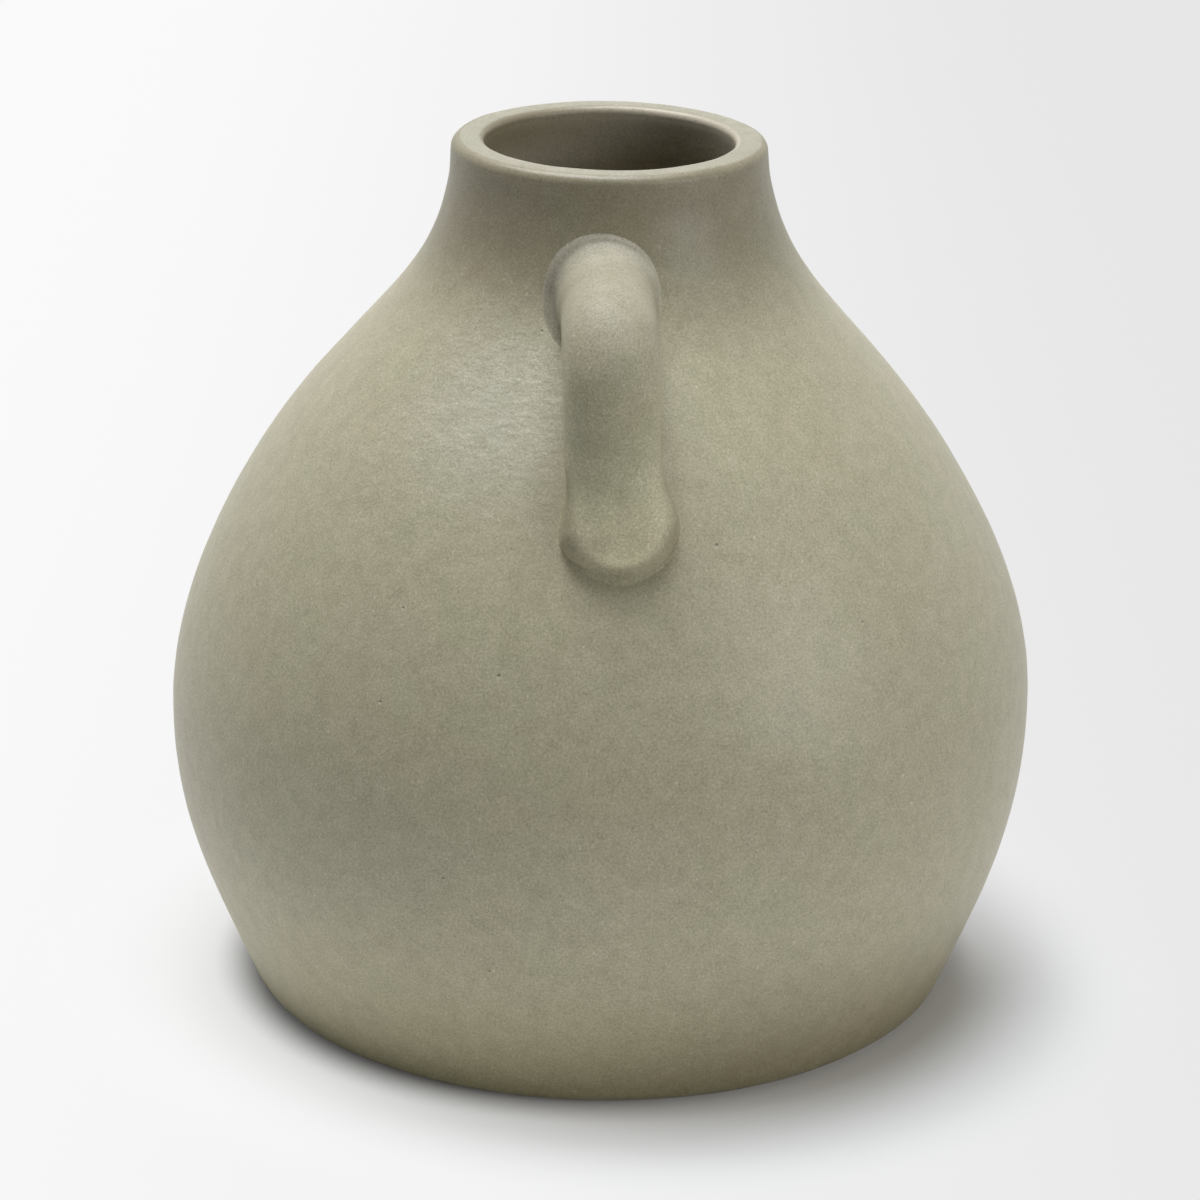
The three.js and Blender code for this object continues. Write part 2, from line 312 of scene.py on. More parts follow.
def makeLiner(material):
    floorHeight = pot["recess"] + pot["floor"] + liner["gap"]
    top = pot["height"] - liner["stop"]
    backDepth = pot["wall"] + liner["gap"]
    front = bowlOutline(backDepth + liner["thickness"], floorHeight + liner["thickness"], top)
    front = spread(front, liner["spacing"])
    back = spread(bowlOutline(backDepth, floorHeight, top), liner["spacing"])
    frontShift = liner["gap"] + liner["thickness"] + liner["frontTuck"]
    front[:, 0] += smooth(top - liner["feather"], top, front[:, 1]) * frontShift
    back[:, 0] += smooth(top - liner["feather"], top, back[:, 1]) * (liner["gap"] + liner["backTuck"])
    outline = np.vstack([back, front[::-1]])
    rings = turned(outline, liner["sides"])
    rings = uneven(rings, turnedNormals(outline, liner["sides"]))
    poles = [[0, 0, floorHeight], [0, 0, floorHeight + liner["thickness"]]]
    return ringMesh("linerSkin", rings, material, poles)


# Ear handle: a level run from the neck, a bend, a leg and a rounded toe on the shoulder
handle = {
    "width": 17.6, "toeWidth": 21.9, "depthAtNeck": 18.6, "depth": 14, "neckTaper": 0.4, "toeFlare": 0.18,
    "belowRim": 22.8, "projection": 25.4, "bendRadius": 10, "span": 36.4, "toeLean": 20,
    "legPull": (0.45, 0.35), "toeSink": 6.4, "toeRound": 9, "neckSink": 5, "toeEnd": 0.9,
    "offsetAtNeck": -0.5, "offsetAtShoulder": 1.9, "toeShift": 1.1, "toeShiftFrom": (0.68, 0.88),
    "toeSquare": 0.3, "toeSquareFrom": (0.66, 0.86), "toeCap": 2.3, "toeSkew": 0.025, "toeRoundSkew": 0.2,
    # Where the painted shade near the wall sets in and is full, above and beside the toe, and from where
    # along the handle
    "shadeAbove": (3.6, 1.2), "shadeBeside": (7, 3.2), "shadeFrom": (0.64, 0.78),
    "sides": 120, "rings": 190, "roundRings": 30, "roundEnd": 0.06,
    "bendSteps": 60, "legSteps": 80, "pathStep": 0.1, "pathEase": 29,
}


def handleLine():
    top = pot["height"] - handle["belowRim"]
    neck = np.interp(top, outerWall[:, 1], outerWall[:, 0])
    legReach = neck + handle["projection"]
    bendCentre = np.array([legReach - handle["bendRadius"], top - handle["bendRadius"]])
    legTop = np.array([legReach, bendCentre[1]])
    landHeight = top - handle["span"]
    landing = np.array([np.interp(landHeight, outerWall[:, 1], outerWall[:, 0]), landHeight])
    drop = legTop[1] - landing[1]
    toe = upWall(handle["toeLean"])
    leave = legTop - [0, handle["legPull"][0] * drop]
    arrive = landing + toe * handle["legPull"][1] * drop
    leg = bezier([legTop, leave, arrive, landing], np.linspace(0, 1, handle["legSteps"]))
    line = np.vstack([
        [[neck - handle["neckSink"], top]],
        arc(bendCentre, handle["bendRadius"], 90, 0, handle["bendSteps"]),
        leg[1:],
        [landing - toe * handle["toeSink"]],
    ])
    return spread(line, handle["pathStep"])


handlePath = handleLine()
handleShare = np.linspace(0, 1, len(handlePath))
handleLength = np.hypot(*np.diff(handlePath, axis=0).T).sum()
handleSlant = np.gradient(handlePath, axis=0)
handleSlant = np.stack([eased(c, handle["pathEase"]) for c in handleSlant.T], -1)
handleSlant /= np.hypot(*handleSlant.T)[:, None]


# A cosine or sine drawn out towards a square corner: its size to the power of 2 over n, its sign kept
def squared(value, n):
    return np.sign(value) * np.abs(value) ** (2 / n)


# Handle surface: an ellipse square to the centreline, at a share of its length and an angle round it,
# that turns into a squarer oval at the toe
def handleSurface(share, angle):
    centre = [np.interp(share, handleShare, c) for c in handlePath.T]
    slant = [np.interp(share, handleShare, c) for c in handleSlant.T]
    sideways = handle["offsetAtNeck"] + share * (handle["offsetAtShoulder"] - handle["offsetAtNeck"])
    sideways = sideways + handle["toeShift"] * smooth(*handle["toeShiftFrom"], share)
    toeRound = handle["toeRound"] * (1 + handle["toeRoundSkew"] * np.cos(angle))
    fromRound = 1 - np.minimum((1 - share) * handleLength / toeRound, 1)
    n = 2 + handle["toeSquare"] * smooth(*handle["toeSquareFrom"], share)
    deeper = smooth(0, handle["neckTaper"], share)
    depth = handle["depthAtNeck"] + (handle["depth"] - handle["depthAtNeck"]) * deeper
    skewed = share + handle["toeSkew"] * np.cos(angle)
    wider = smooth(handle["toeEnd"] - handle["toeFlare"], handle["toeEnd"], skewed)
    width = handle["width"] + (handle["toeWidth"] - handle["width"]) * wider
    cap = handle["toeCap"]
    across = squared(np.cos(angle), n) * (1 - fromRound ** cap) ** (1 / cap) * width / 2
    outwards = squared(np.sin(angle), n) * np.sqrt(1 - fromRound ** 2) * depth / 2
    return np.stack([
        sideways + across,
        -(centre[0] - slant[1] * outwards),
        centre[1] + slant[0] * outwards,
    ], -1)


# Outward normals of a grid of points, from the steps along its two directions
def gridNormals(grid):
    along = np.gradient(grid, axis=0)
    wrapped = np.concatenate([grid[:, -1:], grid, grid[:, :1]], 1)
    around = (wrapped[:, 2:] - wrapped[:, :-2]) / 2
    normal = np.cross(around, along)
    return normal / np.maximum(np.linalg.norm(normal, axis=-1), 1e-12)[..., None]


handleAngles = 2 * math.pi * np.arange(handle["sides"]) / handle["sides"]
roundStart = 1 - handle["toeRound"] * (1 + handle["toeRoundSkew"]) / handleLength
# Even steps over the rounded toe
roundAngle = np.linspace(math.pi / 2, handle["roundEnd"], handle["roundRings"])[1:]
roundRows = 1 - (1 - np.cos(roundAngle)) * (1 - roundStart)
handleRows = np.r_[np.linspace(0, roundStart, handle["rings"]), roundRows]
handleGrid = handleSurface(handleRows[:, None], handleAngles[None])
handleNormal = gridNormals(handleGrid)


def makeHandle(material):
    rings = uneven(handleGrid, handleNormal)
    # Painted shade near the wall at the toe, wider at its sides
    beside = np.cos(handleAngles) ** 2
    start, full = [a + b * beside for a, b in zip(handle["shadeAbove"], handle["shadeBeside"])]
    paintedShade = smooth(start, full, wallDistance(handleGrid))
    paintedShade = paintedShade * smooth(*handle["shadeFrom"], handleRows)[:, None]
    return ringMesh("handleSkin", rings, material, [rings[0].mean(0), rings[-1].mean(0)], paintedShade)


# A luting coil: a flare from a line on the handle to a line on the wall, drawn for each angle round the
# handle as a cubic curve pulled towards where the two meet, with a thumbed groove inside a low crest
# In each coil, where along it the painted shade is fullest and how wide it runs
upperCoil = {
    "climb": 5.5, "spread": 2.5, "lean": 1.0, "tip": 0.4, "pulls": (0.5, 0.42),
    "bury": 0.03, "behind": 0.6, "steps": 40, "shadeAt": 0.7, "shadeWidth": 0.3,
    "groove": 0.3, "grooveAt": 0.6, "grooveWidth": 0.14,
    "crest": 0.15, "crestAt": 0.84, "crestWidth": 0.11,
}
lowerCoil = {
    "climb": 3, "spread": 0.8, "lean": -0.1, "tip": 1.8, "pulls": (0.5, 0.55),
    "bury": 0.03, "behind": 0.6, "steps": 24, "shadeAt": 0.4, "shadeWidth": 0.6,
    "groove": 0, "grooveAt": 0.5, "grooveWidth": 0.1,
    "crest": 0, "crestAt": 0.8, "crestWidth": 0.1,
}

# The side of a coil where its groove runs and where the upper one gets painted shade, by sine and cosine
coilSides = {"groove": (-0.5, 0.6), "grooveTurn": 0.8, "shadeLeft": (0.45, 0.95), "shadeTop": (0.9, 0.1)}


def rowAt(rows, grid):
    low = np.clip(np.floor(rows).astype(int), 0, len(grid) - 2)
    share = (rows - low)[:, None]
    column = np.arange(grid.shape[1])
    return grid[low, column] * (1 - share) + grid[low + 1, column] * share


# A smooth bump of height 1 at a place, with the given width
def hump(value, place, width):
    return np.exp(-((value - place) / width) ** 2)


# For each angle round the handle, the row before its surface crosses the wall, and at what share of the
# way to the next row it crosses
def wallCrossing(atNeck):
    distance = wallDistance(handleGrid)
    row = np.arange(len(handleGrid))[:, None]
    middle = len(handleGrid) // 2
    if atNeck:
        last = np.where((distance < 0) & (row < middle), row, 0).max(0)
    else:
        last = np.where((distance < 0) & (row > middle), row, len(handleGrid)).min(0) - 1
    column = np.arange(handle["sides"])
    before, beyond = distance[last, column], distance[last + 1, column]
    return last, before / (before - beyond)


# For each angle, the row that lies a given length along the handle's surface from that crossing
def rowFurther(last, share, length):
    steps = np.diff(handleGrid, axis=0, prepend=handleGrid[:1])
    run = np.cumsum(np.linalg.norm(steps, axis=-1), axis=0)
    row = np.arange(len(handleGrid))
    column = np.arange(handle["sides"])
    goal = run[last, column] + share * (run[last + 1, column] - run[last, column]) + length
    return np.array([np.interp(goal[c], run[:, c], row) for c in column])


# Where a coil's skirt lands: out along the wall from the handle, further to one side and at the tip
def coilLanding(coil, contact, handleOut, wallOut):
    away = handleOut - (handleOut * wallOut).sum(-1)[:, None] * wallOut
    away /= np.linalg.norm(away, axis=-1)[:, None]
    reach = coil["spread"] - coil["lean"] * np.cos(handleAngles)
    reach += coil["tip"] * np.maximum(np.sin(handleAngles), 0)
    landed = contact + away * reach[:, None]
    return landed - wallNormal(landed) * wallDistance(landed)[:, None]


# How deep a coil is pressed in: a groove, deepest on the left, beside a raised crest
def coilGroove(coil, level, leftward):
    groove = coil["groove"] * hump(level, coil["grooveAt"], coil["grooveWidth"]) * leftward
    crest = coil["crest"] * hump(level, coil["crestAt"], coil["crestWidth"])
    upperLeft = np.sin(handleAngles) - coilSides["grooveTurn"] * np.cos(handleAngles)
    return (groove - crest) * smooth(*coilSides["groove"], upperLeft)


def makeCoil(name, material, coil, atNeck):
    last, share = wallCrossing(atNeck)
    contact = rowAt(last + share, handleGrid)
    handleOut = rowAt(last + share, handleNormal)
    climbRow = rowFurther(last, share, coil["climb"] if atNeck else -coil["climb"])
    climbed = rowAt(climbRow, handleGrid)
    climbedOut = rowAt(climbRow, handleNormal)
    wallOut = wallNormal(contact)
    landed = coilLanding(coil, contact, handleOut, wallOut)
    level = np.linspace(0, 1, coil["steps"])[:, None]
    onHandle = contact + (climbed - contact) * coil["pulls"][0]
    onPot = contact + (landed - contact) * coil["pulls"][1]
    t = level[..., None]
    sweep = (1 - t) ** 3 * climbed + 3 * (1 - t) ** 2 * t * onHandle
    sweep = sweep + 3 * (1 - t) * t ** 2 * onPot + t ** 3 * landed
    out = (1 - t) * climbedOut + t * wallNormal(landed)
    out /= np.linalg.norm(out, axis=-1)[..., None]
    leftward = 0.5 - 0.5 * np.cos(handleAngles)
    sweep = uneven(sweep, out, coil["bury"] + coilGroove(coil, level, leftward))
    hidden = np.stack([
        landed - wallNormal(landed) * coil["behind"],
        contact - (handleOut + wallOut) * coil["behind"],
        climbed - climbedOut * coil["behind"],
    ])
    # Painted shade along the coil; on the upper one only on its left and lower side
    paintedShade = hump(level, coil["shadeAt"], coil["shadeWidth"]) + 0 * leftward
    if atNeck:
        paintedShade = paintedShade * smooth(*coilSides["shadeLeft"], leftward)
        paintedShade = paintedShade * smooth(*coilSides["shadeTop"], np.sin(handleAngles))
    paintedShade = np.vstack([paintedShade, np.zeros((len(hidden), handle["sides"]))])
    rings = np.concatenate([sweep, hidden])
    if atNeck:
        rings = rings[::-1]
        paintedShade = paintedShade[::-1]
    return ringMesh(name, rings, material, paintedShade=paintedShade)


# One material's shader nodes; an input is a number, a colour or another node's output
class Finish:
    def __init__(self, name):
        self.material = bpy.data.materials.new(name)
        self.material.use_nodes = True
        self.tree = self.material.node_tree
        self.tree.nodes.clear()
        place = self.add("ShaderNodeTexCoord").outputs["Object"]
        self.place = self.vector("SCALE", place, Scale=1 / mm)  # object coordinates in millimetres
        places = self.add("ShaderNodeSeparateXYZ", {0: self.place}).outputs
        self.sideways, self.forward, self.height = places

    def add(self, kind, inputs=None, **settings):
        node = self.tree.nodes.new(kind)
        for key, value in settings.items():
            setattr(node, key, value)
        for key, value in (inputs or {}).items():
            if isinstance(value, bpy.types.NodeSocket):
                self.tree.links.new(value, node.inputs[key])
            else:
                node.inputs[key].default_value = value
        return node

    def vector(self, operation, a, b=None, **named):
        inputs = {0: a, **named}
        if b is not None:
            inputs[1] = b
        node = self.add("ShaderNodeVectorMath", inputs, operation=operation)
        return node.outputs["Value" if operation in ("DISTANCE", "LENGTH", "DOT_PRODUCT") else "Vector"]

    def math(self, operation, a, b=0.0):
        return self.add("ShaderNodeMath", {0: a, 1: b}, operation=operation).outputs[0]

    # 0 below low, 1 above high and smooth between; low above high turns it round
    def between(self, value, low, high):
        inputs = {0: value, 1: low, 2: high}
        return self.add("ShaderNodeMapRange", inputs, interpolation_type="SMOOTHSTEP").outputs[0]

    # Noise with lumps of about the given size in millimetres, about 0 to 1
    def noise(self, size, detail=2.0, roughness=0.5, place=None, offset=0.0):
        shift = (offset, offset * 1.7, -offset)
        where = self.vector("ADD", self.place if place is None else place, shift)
        inputs = {"Vector": where, "Scale": 1 / size, "Detail": detail, "Roughness": roughness}
        return self.add("ShaderNodeTexNoise", inputs).outputs[0]

    # Two such shares multiplied, so 1 only where both are
    def within(self, first, firstRange, second, secondRange):
        return self.math("MULTIPLY", self.between(first, *firstRange), self.between(second, *secondRange))

    def blend(self, share, a, b, way="MIX"):
        node = self.add("ShaderNodeMix", {0: share, 6: a, 7: b}, data_type="RGBA", blend_type=way)
        return node.outputs[2]

    def bump(self, height, depth, under=None):
        inputs = {"Height": height, "Distance": depth * mm, "Strength": 1.0}
        if under is not None:
            inputs["Normal"] = under
        return self.add("ShaderNodeBump", inputs).outputs[0]

    def close(self, inputs):
        shader = self.add("ShaderNodeBsdfPrincipled", inputs)
        output = self.add("ShaderNodeOutputMaterial")
        self.tree.links.new(shader.outputs[0], output.inputs["Surface"])
        return self.material


# Matt glaze: its hues, its painted light and shade at each place, and its texture, with sizes and depths
# in millimetres
glaze = {
    "warm": screen(179, 171, 142), "cool": screen(177, 172, 142),
    "pale": screen(195, 188, 160), "dark": screen(161, 154, 126), "pit": screen(84, 75, 60),
    "speck": screen(222, 214, 190), "bareClay": screen(160, 149, 131), "sheenLight": (1.1, 1.13, 1.24, 1),
    # Multipliers of painted shade, below 1, and painted light, above 1, set by place
    "neckShade": (0.625, 0.605, 0.58, 1), "handleShade": (0.9, 0.91, 1, 1),
    "lipShade": (0.79, 0.8, 0.87, 1), "innerEdgeShade": (0.7, 0.68, 0.64, 1),
    "legPaintedLight": (1.15, 1.17, 1.17, 1), "toePaintedLight": (1.32, 1.32, 1.3, 1),
    "crestPaintedLight": (1.1, 1.1, 1.15, 1), "paintedJointShade": (0.58, 0.565, 0.57, 1),
    "leftFootShade": (0.975, 0.955, 0.84, 1), "rightFootShade": (0.69, 0.655, 0.575, 1),
    "roughness": 0.43, "creepSheen": 0.11, "specular": 0.5, "handleSpecular": 0.12,
    "mottleSize": 17, "mottleFrom": (0.35, 0.65), "cloudSize": 3.6, "cloudShare": 0.25,
    "grainSize": 0.42, "grainShare": 0.75, "paleFrom": (0.5, 0.64), "darkFrom": (0.5, 0.36),
    "speckSize": 0.9, "speckFrom": (0.72, 0.8), "speckShare": 0.5,
    "wrinkleSize": 2.5, "wrinkleFlat": (1, 1, 1.6), "wrinkleDepth": 0.2,
    "wrinkleShare": 0.8, "evenShare": 0.2,
    "peelSize": 1.5, "peelDepth": 0.035, "grainDepth": 0.01, "pitDepth": 0.25,
}

# Where the painted light and shade, the inside's colour and the bare clay set in and where they are full:
# a height, a radius or a place from left to right
zones = {
    "neck": (136, 158), "outerFace": (28.6, 29.1), "lipTop": (167.5, 169.5), "lipInward": (29.1, 28.6),
    "leg": (152, 138), "toe": (132, 112), "toeEnd": (98, 104), "crest": (44, 33),
    "inside": (25.3, 24.4), "aboveFloor": (20, 30), "edgeTop": (168.4, 169.8), "edgeInward": (25.4, 24.8),
    "rightward": (-25, 35), "foot": (44, 0), "bareClay": (0.7, 0.3),
}

# Pinholes that gas left in the glaze: bearing in degrees, height and width in millimetres
pinholes = [
    (240.3, 97.5, 0.6), (239.9, 81.3, 0.7), (256.0, 88.9, 0.8), (251.9, 142.8, 0.6),
    (272.4, 136.7, 0.6), (264.8, 139.1, 0.5), (288.0, 110.3, 0.8), (309.2, 94.3, 0.6),
    (256.2, 32.0, 0.7), (250.8, 51.0, 0.6), (218.6, 5.2, 0.9),
]
# How far a pinhole's pit, painted dark as shade, and its rim, a painted highlight, reach, and how far the
# rim lies below, as shares of its width
pinhole = {
    "pitReach": (0.5, 0.2), "pitStrength": 0.45,
    "rimReach": (0.75, 0.35), "rimStrength": 0.8, "rimBelow": 0.45,
}

# Where the glaze crept most as it dried, and where a painted sheen lightens and cools it
wrinkled = {"bearing": 242, "height": 129, "reach": 38, "core": 0.3}
paintedSheenPatch = {"bearing": 247, "height": 130, "reach": 28, "core": 0.15}


# A point on the outside wall, with its unevenness, at a bearing and a height
def onWall(bearing, height):
    radius = np.interp(height, outerWall[:, 1], outerWall[:, 0])
    turn = math.radians(bearing)
    point = np.array([[radius * math.cos(turn), radius * math.sin(turn), height]])
    return tuple(uneven(point, wallNormal(point))[0].tolist())


# 0 outside a patch of the wall and 1 at its core
def patch(f, place):
    away = f.vector("DISTANCE", f.place, onWall(place["bearing"], place["height"]))
    return f.between(away, place["reach"], place["reach"] * place["core"])


# The colour inside: the liner's, with painted light in it, painted darker on the left and lighter on the
# right of the mouth and lighter below the rim, and freckled
def linerColour(f):
    colour = f.blend(f.between(f.sideways, *liner["acrossMouth"]), liner["left"], liner["right"])
    colour = f.blend(f.between(f.height, *liner["belowRim"]), colour, liner["deep"])
    freckle = f.noise(liner["freckleSize"], 3, 0.75, offset=31)
    return f.blend(f.between(freckle, *liner["freckleFrom"]), colour, liner["freckle"], "MULTIPLY")


# The glaze's ground: mottled, with lighter and darker grain and pale specks, and a painted sheen on one
# patch of the shoulder
def groundColour(f, grain):
    mottle = f.noise(glaze["mottleSize"], 3, 0.55)
    colour = f.blend(f.between(mottle, *glaze["mottleFrom"]), glaze["cool"], glaze["warm"])
    cloud = f.math("MULTIPLY", f.noise(glaze["cloudSize"], 3, 0.6, offset=57), glaze["cloudShare"])
    lift = f.math("ADD", cloud, f.math("MULTIPLY", grain, glaze["grainShare"]))
    colour = f.blend(f.between(lift, *glaze["paleFrom"]), colour, glaze["pale"])
    colour = f.blend(f.between(lift, *glaze["darkFrom"]), colour, glaze["dark"])
    speck = f.between(f.noise(glaze["speckSize"], 1, 0.5, offset=91), *glaze["speckFrom"])
    colour = f.blend(f.math("MULTIPLY", speck, glaze["speckShare"]), colour, glaze["speck"])
    # Painted sheen: a paler, cooler patch on the left shoulder
    return f.blend(patch(f, paintedSheenPatch), colour, glaze["sheenLight"], "MULTIPLY")


# 1 in the pits of all pinholes, and 1 on the painted highlights just below them
def pinholeMasks(f):
    masks = {"pit": [], "rim": []}
    for bearing, height, width in pinholes:
        for part, below in (("pit", 0), ("rim", pinhole["rimBelow"])):
            away = f.vector("DISTANCE", f.place, onWall(bearing, height - width * below))
            outer, full = pinhole[part + "Reach"]
            masks[part].append(f.between(away, width * outer, width * full))
    return [functools.reduce(lambda a, b: f.math("MAXIMUM", a, b), mask) for mask in masks.values()]


# The colour with painted light and shade by place: on the neck, the lip, the handle, where handle and
# coils meet the wall, the inside and its edge, and the foot
def shaded(f, colour, onHandle):
    radius = f.vector("LENGTH", f.vector("MULTIPLY", f.place, (1, 1, 0)))
    # Painted shade on the neck under the lip, and with the same mask on the handle's upper run and bend
    neck = f.within(f.height, zones["neck"], radius, zones["outerFace"])
    colour = f.blend(neck, colour, glaze["handleShade" if onHandle else "neckShade"], "MULTIPLY")
    # Painted shade on the lip's top
    top = f.within(f.height, zones["lipTop"], radius, zones["lipInward"])
    colour = f.blend(top, colour, glaze["lipShade"], "MULTIPLY")
    if onHandle:
        # Painted light on the handle's leg, on its toe and on its crest by the neck
        colour = f.blend(f.between(f.height, *zones["leg"]), colour, glaze["legPaintedLight"], "MULTIPLY")
        toe = f.within(f.height, zones["toe"], f.height, zones["toeEnd"])
        colour = f.blend(toe, colour, glaze["toePaintedLight"], "MULTIPLY")
        colour = f.blend(f.between(radius, *zones["crest"]), colour, glaze["crestPaintedLight"], "MULTIPLY")
    # Painted shade where the handle's toe and the coils meet the wall
    paintedShade = f.add("ShaderNodeAttribute", attribute_name="paintedShade").outputs["Fac"]
    colour = f.blend(paintedShade, colour, glaze["paintedJointShade"], "MULTIPLY")
    inside = f.within(radius, zones["inside"], f.height, zones["aboveFloor"])
    colour = f.blend(inside, colour, linerColour(f))
    # Painted shade on the inner edge of the lip
    edge = f.within(f.height, zones["edgeTop"], radius, zones["edgeInward"])
    colour = f.blend(edge, colour, glaze["innerEdgeShade"], "MULTIPLY")
    # Painted shade low on the foot, much darker on the right
    foot = f.blend(f.between(f.sideways, *zones["rightward"]), glaze["leftFootShade"], glaze["rightFootShade"])
    colour = f.blend(f.between(f.height, *zones["foot"]), colour, foot, "MULTIPLY")
    return f.blend(f.between(f.height, *zones["bareClay"]), colour, glaze["bareClay"])


def makeMattGlaze(name, onHandle):
    f = Finish(name)
    grain = f.noise(glaze["grainSize"], 2, 0.8)
    pits, paintedHighlightRims = pinholeMasks(f)
    colour = groundColour(f, grain)
    # Painted highlight on each pinhole's lower lip, and painted shade in its pit
    colour = f.blend(f.math("MULTIPLY", paintedHighlightRims, pinhole["rimStrength"]), colour, glaze["pale"])
    colour = f.blend(f.math("MULTIPLY", pits, pinhole["pitStrength"]), colour, glaze["pit"])
    colour = shaded(f, colour, onHandle)
    creep = f.math("MULTIPLY", patch(f, wrinkled), glaze["wrinkleShare"])
    creep = f.math("ADD", creep, glaze["evenShare"])
    flat = f.vector("MULTIPLY", f.place, glaze["wrinkleFlat"])  # lumps wider than they are tall
    wrinkle = f.math("MULTIPLY", f.noise(glaze["wrinkleSize"], 3, 0.6, flat, 71), creep)
    normal = f.bump(wrinkle, glaze["wrinkleDepth"])
    normal = f.bump(f.noise(glaze["peelSize"], 2, 0.6, offset=13), glaze["peelDepth"], normal)
    normal = f.bump(grain, glaze["grainDepth"], normal)
    normal = f.bump(pits, -glaze["pitDepth"], normal)
    roughness = f.math("SUBTRACT", glaze["roughness"], f.math("MULTIPLY", creep, glaze["creepSheen"]))
    specular = glaze["handleSpecular" if onHandle else "specular"]
    return f.close({
        "Base Color": colour, "Roughness": roughness, "Specular IOR Level": specular, "Normal": normal,
    })


def makeLinerGlaze():
    f = Finish("linerGlaze")
    normal = f.bump(f.noise(liner["rippleSize"], 3, 0.6), liner["rippleDepth"])
    normal = f.bump(f.noise(liner["fineSize"], 2, 0.7), liner["fineDepth"], normal)
    return f.close({
        "Base Color": linerColour(f), "Roughness": liner["roughness"],
        "Specular IOR Level": liner["specular"], "Normal": normal,
    })


handleGlaze = makeMattGlaze("handleGlaze", True)
potSkin = makePot(makeMattGlaze("potGlaze", False))
linerSkin = makeLiner(makeLinerGlaze())
handleSkin = makeHandle(handleGlaze)
upperCoilSkin = makeCoil("upperCoilSkin", handleGlaze, upperCoil, True)
lowerCoilSkin = makeCoil("lowerCoilSkin", handleGlaze, lowerCoil, False)
dressed = [
    (potSkin, "vessel_body", "matt_glaze"), (linerSkin, "interior_glaze", "liner_glaze"),
    (handleSkin, "handle", "matt_glaze"), (upperCoilSkin, "upper_luting_coil", "matt_glaze"),
    (lowerCoilSkin, "lower_luting_coil", "matt_glaze"),
]
for piece, node, slot in dressed:
    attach(piece, "root")
    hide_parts(node)
    print("made", piece.name, len(piece.data.polygons), "faces")


# 1 for rays that show a thing to the camera or in a mirror or a glass, 0 for rays that light the jug
def shownRays(tree):
    path = tree.nodes.new("ShaderNodeLightPath")
    shown = path.outputs["Is Camera Ray"]
    for ray in ("Is Glossy Ray", "Is Transmission Ray"):
        either = tree.nodes.new("ShaderNodeMath")
        either.operation = "MAXIMUM"
        tree.links.new(shown, either.inputs[0])
        tree.links.new(path.outputs[ray], either.inputs[1])
        shown = either.outputs[0]
    return shown


# Pale table, sizes in metres; to the camera it is greyer and glows, and the glow paints light into its
# shadow, most on the left and least near the foot and on the right, and far out paints it lighter on the
# left than on the right before it fades into the backdrop
table = {
    "halfWidth": 3, "front": 3, "back": 4, "grey": 0.92, "backdrop": 0.885, "roughness": 0.9,
    "leftGrey": 0.25, "leftGlow": 0.66, "leftFar": 0.95,
    "rightGrey": 0.85, "rightGlow": 0.05, "rightFar": 0.8,
    "contactGrey": 0.35, "contactGlow": 0.05, "behindGrey": 0.35, "behindGlow": 0.45,
    "warmth": (1, 1, 0.97, 1),
}

# Where the table's tones change, in millimetres from the jug's axis; nearer the camera than litFront it
# throws no light at the jug
tableZones = {
    "beside": (67, 79), "far": (78, 120), "rightward": (-70, 75), "behind": (-25, 30),
    "farRightward": (-200, 200), "backdrop": (900, 2000), "litFront": (-351, -350),
}


def plainGrey(name):
    return (table[name],) * 3 + (1,)


def makeTable():
    side, front, back = table["halfWidth"], -table["front"], table["back"]
    corners = [(-side, front, 0), (side, front, 0), (side, back, 0), (-side, back, 0)]
    mesh = bpy.data.meshes.new("tableTop")
    mesh.from_pydata(corners, [], [(0, 1, 2, 3)])
    f = Finish("paleTable")
    shown = shownRays(f.tree)
    away = f.vector("LENGTH", f.place)
    beside = f.between(away, *tableZones["beside"])
    far = f.between(away, *tableZones["far"])
    rightward = f.between(f.sideways, *tableZones["rightward"])
    behind = f.between(f.forward, *tableZones["behind"])
    farRightward = f.between(f.sideways, *tableZones["farRightward"])
    # Near the jug, glow paints light into the shadow on the left and behind, and little near the foot and
    # on the right
    near = {}
    for tone in ("Glow", "Grey"):
        left = f.blend(beside, plainGrey("contact" + tone), plainGrey("left" + tone))
        right = f.blend(beside, plainGrey("contact" + tone), plainGrey("behind" + tone))
        right = f.blend(behind, plainGrey("right" + tone), right)
        near[tone] = f.blend(rightward, left, right)
    black = (0, 0, 0, 1)
    glow = f.blend(farRightward, plainGrey("leftFar"), plainGrey("rightFar"))
    glow = f.blend(f.between(away, *tableZones["backdrop"]), glow, plainGrey("backdrop"))
    glow = f.blend(far, near["Glow"], glow)
    seen = f.blend(1.0, f.blend(far, near["Grey"], black), table["warmth"], "MULTIPLY")
    lit = f.blend(f.between(f.forward, *tableZones["litFront"]), black, plainGrey("grey"))
    mesh.materials.append(f.close({
        "Base Color": f.blend(shown, lit, seen), "Roughness": table["roughness"],
        "Specular IOR Level": 0.0, "Emission Color": glow, "Emission Strength": shown,
    }))
    top = bpy.data.objects.new("tableTop", mesh)
    bpy.context.scene.collection.objects.link(top)


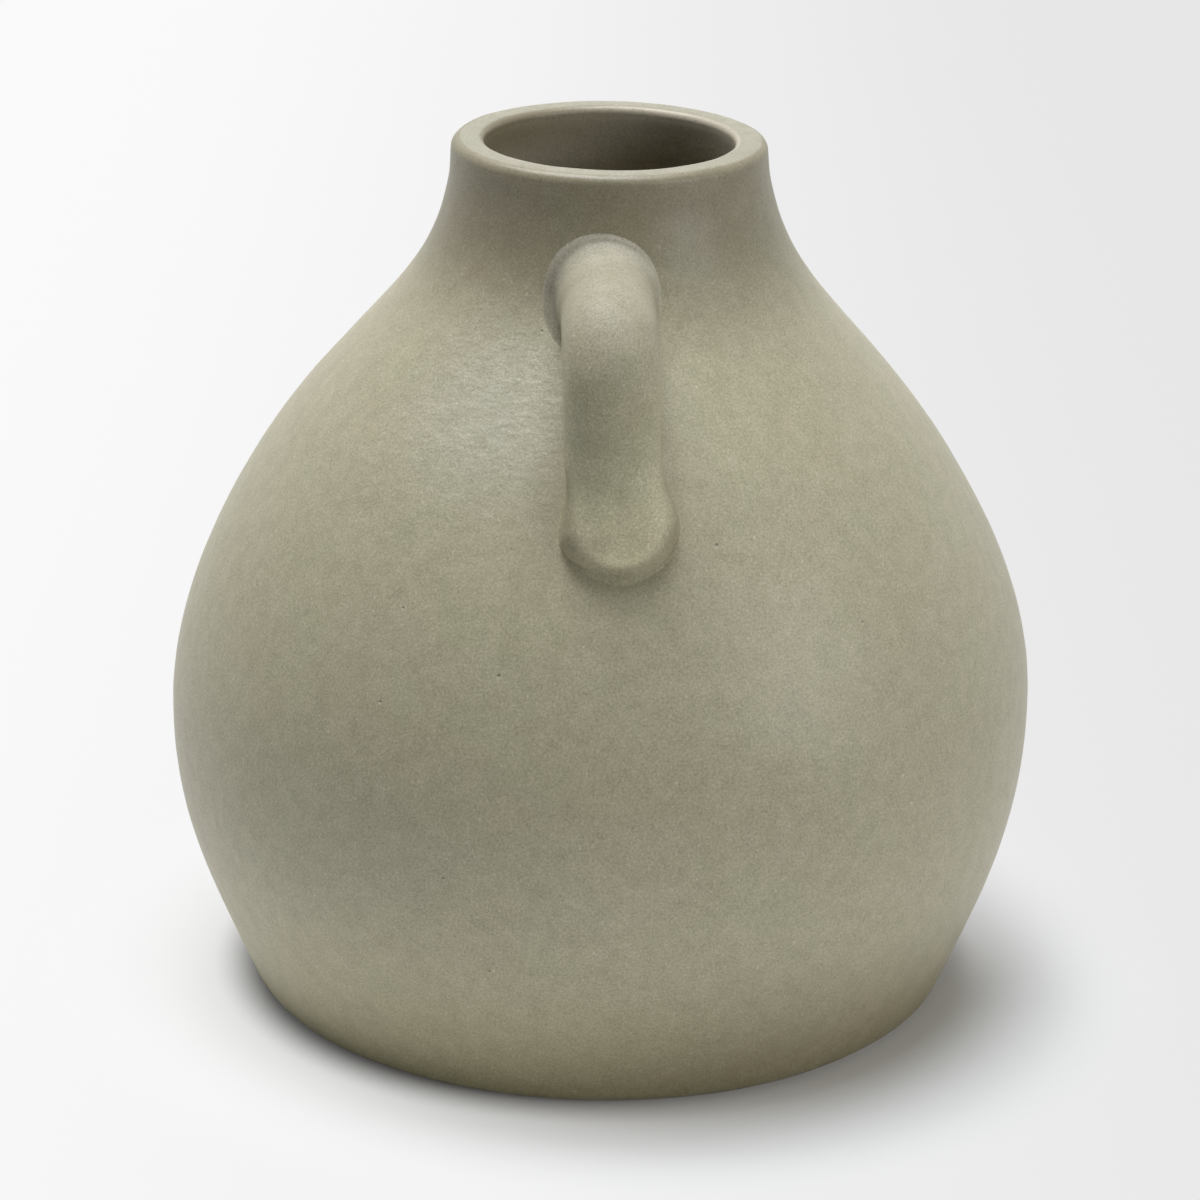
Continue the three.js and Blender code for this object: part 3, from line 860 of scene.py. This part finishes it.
# Soft boxes round the jug: bearing and height angle in degrees, distance and width in metres, watts, tint
softBoxes = {
    "above": (0, 88, 1.6, 0.9, 16.6, (0.96, 1, 1.1)),
    "highLeft": (140, 68, 1.6, 0.9, 16.8, (1, 1, 1)),
    "right": (325, 18, 1.6, 0.9, 6, (1, 1, 1)),
}
jugMiddle = Vector((0, 0, 0.085))  # in metres; the boxes face it


def makeLights():
    for name, (bearing, rise, distance, width, watts, tint) in softBoxes.items():
        lamp = bpy.data.lights.new(name, "AREA")
        lamp.shape = "DISK"
        lamp.size = width
        lamp.energy = watts
        lamp.color = tint
        turn, lift = math.radians(bearing), math.radians(rise)
        aim = Vector((math.cos(turn) * math.cos(lift), math.sin(turn) * math.cos(lift), math.sin(lift)))
        box = bpy.data.objects.new(name, lamp)
        place = Matrix.Translation(jugMiddle + aim * distance)
        box.matrix_world = place @ aim.to_track_quat("Z", "Y").to_matrix().to_4x4()
        bpy.context.scene.collection.objects.link(box)
    world = bpy.data.worlds.new("backdrop")
    world.use_nodes = True
    sky = world.node_tree.nodes["Background"]
    sky.inputs["Color"].default_value = plainGrey("backdrop")
    world.node_tree.links.new(shownRays(world.node_tree), sky.inputs["Strength"])
    bpy.context.scene.world = world


# Camera worked out from the photograph: place in metres, angles in degrees, lens and sensor in mm
camera = {
    "back": 0.7752, "up": 0.3584, "down": 19.99, "roll": 1.02, "yaw": 0.039, "lens": 124.5, "sensor": 36,
}


def makeCamera():
    lens = bpy.data.cameras.new("photoCamera")
    lens.lens = camera["lens"]
    lens.sensor_width = camera["sensor"]
    lens.sensor_fit = "HORIZONTAL"
    eye = bpy.data.objects.new("photoCamera", lens)
    turn = Matrix.Rotation(math.radians(camera["yaw"]), 4, "Z")
    tilt = Matrix.Rotation(math.radians(90 - camera["down"]), 4, "X")
    roll = Matrix.Rotation(math.radians(camera["roll"]), 4, "Z")
    eye.matrix_world = Matrix.Translation((0, -camera["back"], camera["up"])) @ turn @ tilt @ roll
    bpy.context.scene.collection.objects.link(eye)
    bpy.context.scene.camera = eye


makeTable()
makeLights()
makeCamera()
bpy.context.scene.view_settings.view_transform = "Standard"
print("stage, lights and camera set")
